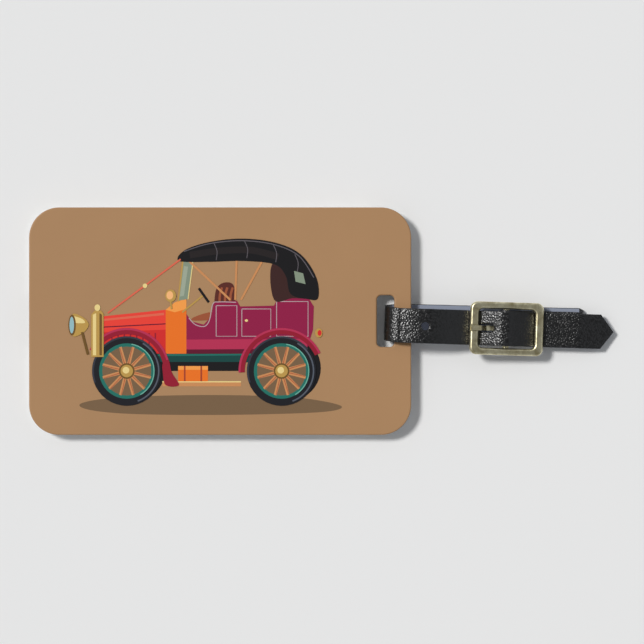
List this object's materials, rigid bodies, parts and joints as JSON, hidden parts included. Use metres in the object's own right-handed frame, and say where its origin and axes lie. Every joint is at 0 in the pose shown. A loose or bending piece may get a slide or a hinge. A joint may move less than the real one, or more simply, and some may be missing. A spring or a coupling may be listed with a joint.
{
  "type": "luggage tag",
  "caption": "Printed plastic luggage tag with a card pocket on its back and a leather strap through its slot, closed by a centre-bar buckle.",
  "frame": {"origin": "middle of the whole object's footprint, on the surface that the tag lies on", "axes": "+X along the tag towards the strap's tip, +Z out of the printed front face, +Y across the tag towards the top of the picture"},
  "size_m": [0.1556, 0.0604, 0.0081],
  "materials": {
    "printed_plastic": "satin printed face",
    "white_plastic": "satin",
    "clear_window": "clear",
    "card": "uncoated card",
    "black_leather": "pebble grain",
    "aged_brass": "antique, polished"
  },
  "bodies": {
    "tag": {"front_plate": "printed_plastic", "card_frame": "white_plastic", "card_window": "clear_window"},
    "card": {"address_card": "card"},
    "strap": {"strap": "black_leather", "buckle_frame": "aged_brass"},
    "prong": {"buckle_prong": "aged_brass"}
  },
  "joints": [
    {"name": "strap_swing", "type": "hinge", "parent": "tag", "child": "strap", "pos_m": [0.02155, 0, 0.0038], "axis": [0, 1, 0], "range_deg": [-120, 120]},
    {"name": "card_slide", "type": "slide", "parent": "tag", "child": "card", "axis": [-1, 0, 0], "range_m": [0, 0.092]},
    {"name": "prong_lift", "type": "hinge", "parent": "strap", "child": "prong", "pos_m": [0.04904, -0.00202, 0.004], "axis": [0.0323, 0.9995, 0], "range_deg": [0, 4]}
  ]
}
